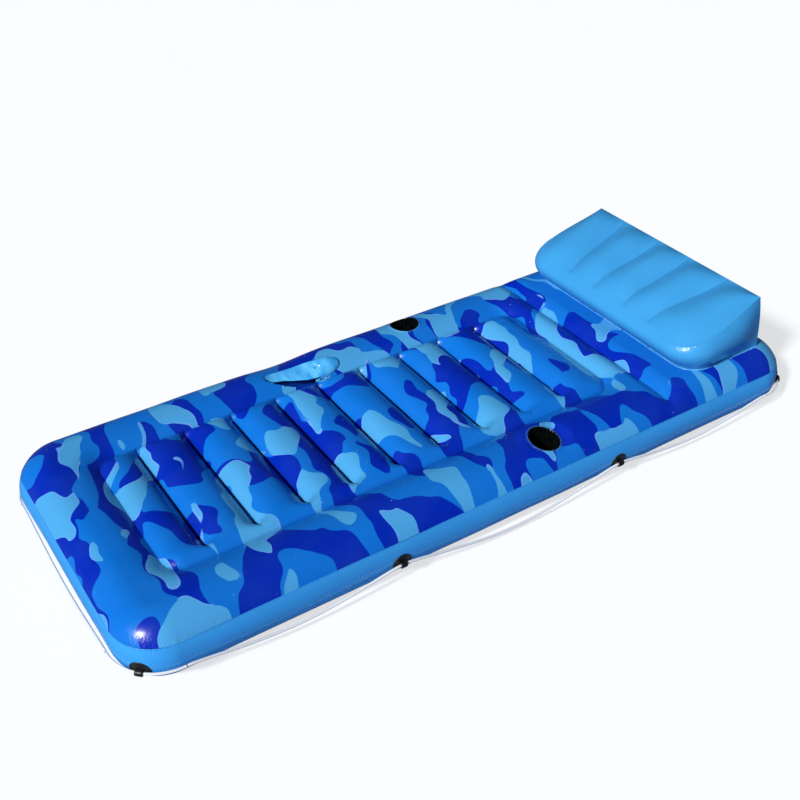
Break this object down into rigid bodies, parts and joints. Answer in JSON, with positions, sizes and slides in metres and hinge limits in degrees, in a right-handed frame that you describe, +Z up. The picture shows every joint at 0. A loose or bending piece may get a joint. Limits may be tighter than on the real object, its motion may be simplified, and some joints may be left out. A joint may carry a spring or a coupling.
{
  "type": "inflatable pool float",
  "caption": "Long inflatable pool mattress with camouflage-printed cross lobes, a wedge pillow on its head end, drink wells, a pocket and a grab rope all round.",
  "frame": {"origin": "centre of the footprint, on the ground", "axes": "+X from the foot end to the head end with the pillow, +Y to the far side with the pocket, +Z up"},
  "size_m": [2.324, 0.951, 0.398],
  "materials": {
    "printed_film": "glossy PVC film printed in three blues",
    "blue_film": "glossy light-blue PVC film",
    "pillow_film": "satin light-blue PVC film",
    "liner_film": "crumpled glossy light-blue PVC film",
    "web_film": "pale translucent PVC film",
    "black_film": "glossy black pleated PVC film",
    "clear_weld": "pale pressed weld ring",
    "black_moulding": "matt black soft moulding",
    "white_rope": "white twisted rope",
    "clear_vinyl": "milky soft vinyl moulding"
  },
  "bodies": {
    "root": {"top_sheet": "printed_film", "side_wall": "blue_film", "bottom_sheet": "blue_film", "cross_webs": "web_film", "perimeter_web": "web_film", "head_web": "web_film", "pillow_top_sheet": "pillow_film", "pillow_gusset": "pillow_film", "pillow_base_sheet": "pillow_film", "pillow_webs": "web_film", "cup_wall_near": "black_film", "cup_floor_near": "black_film", "cup_ring_near": "clear_weld", "cup_wall_far": "black_film", "cup_floor_far": "black_film", "cup_ring_far": "clear_weld", "pocket_liner": "liner_film", "rope_holder_foot_corner_near": "black_moulding", "rope_holder_foot_corner_far": "black_moulding", "rope_holder_foot_side_near": "black_moulding", "rope_holder_foot_side_far": "black_moulding", "rope_holder_head_corner_near": "black_moulding", "rope_holder_head_corner_far": "black_moulding", "rope_holder_head_side_near": "black_moulding", "rope_holder_head_side_far": "black_moulding", "rope_corner_foot_near": "white_rope", "rope_corner_foot_far": "white_rope", "rope_corner_head_near": "white_rope", "rope_corner_head_far": "white_rope", "main_valve_flange": "clear_vinyl", "pillow_valve_flange": "clear_vinyl"},
    "rope_span_foot_body": {"rope_span_foot": "white_rope"},
    "rope_span_head_body": {"rope_span_head": "white_rope"},
    "rope_span_near_foot_body": {"rope_span_near_foot": "white_rope"},
    "rope_span_near_middle_body": {"rope_span_near_middle": "white_rope"},
    "rope_span_near_head_body": {"rope_span_near_head": "white_rope"},
    "rope_span_far_foot_body": {"rope_span_far_foot": "white_rope"},
    "rope_span_far_middle_body": {"rope_span_far_middle": "white_rope"},
    "rope_span_far_head_body": {"rope_span_far_head": "white_rope"},
    "main_valve_stem_body": {"main_valve_stem": "clear_vinyl"},
    "main_valve_flap_body": {"main_valve_flap": "clear_vinyl"},
    "main_valve_plug_body": {"main_valve_plug": "clear_vinyl"},
    "pillow_valve_stem_body": {"pillow_valve_stem": "clear_vinyl"},
    "pillow_valve_flap_body": {"pillow_valve_flap": "clear_vinyl"},
    "pillow_valve_plug_body": {"pillow_valve_plug": "clear_vinyl"}
  },
  "joints": [
    {"name": "rope_span_foot_swing", "type": "hinge", "parent": "root", "child": "rope_span_foot_body", "pos_m": [-1.15804, 0, 0.08061], "axis": [0, 1, 0], "range_deg": [-25, 120]},
    {"name": "rope_span_head_swing", "type": "hinge", "parent": "root", "child": "rope_span_head_body", "pos_m": [1.15804, 0, 0.08061], "axis": [0, -1, 0], "range_deg": [-25, 120]},
    {"name": "rope_span_near_foot_swing", "type": "hinge", "parent": "root", "child": "rope_span_near_foot_body", "pos_m": [-0.698, -0.46704, 0.08061], "axis": [-1, 0, 0], "range_deg": [-25, 120]},
    {"name": "rope_span_near_middle_swing", "type": "hinge", "parent": "root", "child": "rope_span_near_middle_body", "pos_m": [0, -0.46704, 0.08061], "axis": [-1, 0, 0], "range_deg": [-25, 120]},
    {"name": "rope_span_near_head_swing", "type": "hinge", "parent": "root", "child": "rope_span_near_head_body", "pos_m": [0.698, -0.46704, 0.08061], "axis": [-1, 0, 0], "range_deg": [-25, 120]},
    {"name": "rope_span_far_foot_swing", "type": "hinge", "parent": "root", "child": "rope_span_far_foot_body", "pos_m": [-0.698, 0.46704, 0.08061], "axis": [1, 0, 0], "range_deg": [-25, 120]},
    {"name": "rope_span_far_middle_swing", "type": "hinge", "parent": "root", "child": "rope_span_far_middle_body", "pos_m": [0, 0.46704, 0.08061], "axis": [1, 0, 0], "range_deg": [-25, 120]},
    {"name": "rope_span_far_head_swing", "type": "hinge", "parent": "root", "child": "rope_span_far_head_body", "pos_m": [0.698, 0.46704, 0.08061], "axis": [1, 0, 0], "range_deg": [-25, 120]},
    {"name": "main_valve_stem_slide", "type": "slide", "parent": "root", "child": "main_valve_stem_body", "axis": [0.6691, 0, 0.7431], "range_m": [0, 0.012]},
    {"name": "main_valve_plug_swing", "type": "hinge", "parent": "main_valve_stem_body", "child": "main_valve_plug_body", "pos_m": [1.10986, 0.2, 0.19363], "axis": [0, -1, 0], "range_deg": [0, 150]},
    {"name": "main_valve_flap_swing", "type": "hinge", "parent": "main_valve_stem_body", "child": "main_valve_flap_body", "pos_m": [1.09897, 0.2, 0.17107], "axis": [0, 1, 0], "range_deg": [0, 55], "stiffness_Nm_per_rad": 0.0002},
    {"name": "pillow_valve_stem_slide", "type": "slide", "parent": "root", "child": "pillow_valve_stem_body", "axis": [0.9877, 0, 0.1563], "range_m": [0, 0.012]},
    {"name": "pillow_valve_plug_swing", "type": "hinge", "parent": "pillow_valve_stem_body", "child": "pillow_valve_plug_body", "pos_m": [1.02727, 0.15, 0.31445], "axis": [0, -1, 0], "range_deg": [0, 150]},
    {"name": "pillow_valve_flap_swing", "type": "hinge", "parent": "pillow_valve_stem_body", "child": "pillow_valve_flap_body", "pos_m": [1.00461, 0.15, 0.30378], "axis": [0, 1, 0], "range_deg": [0, 55], "stiffness_Nm_per_rad": 0.0002}
  ]
}
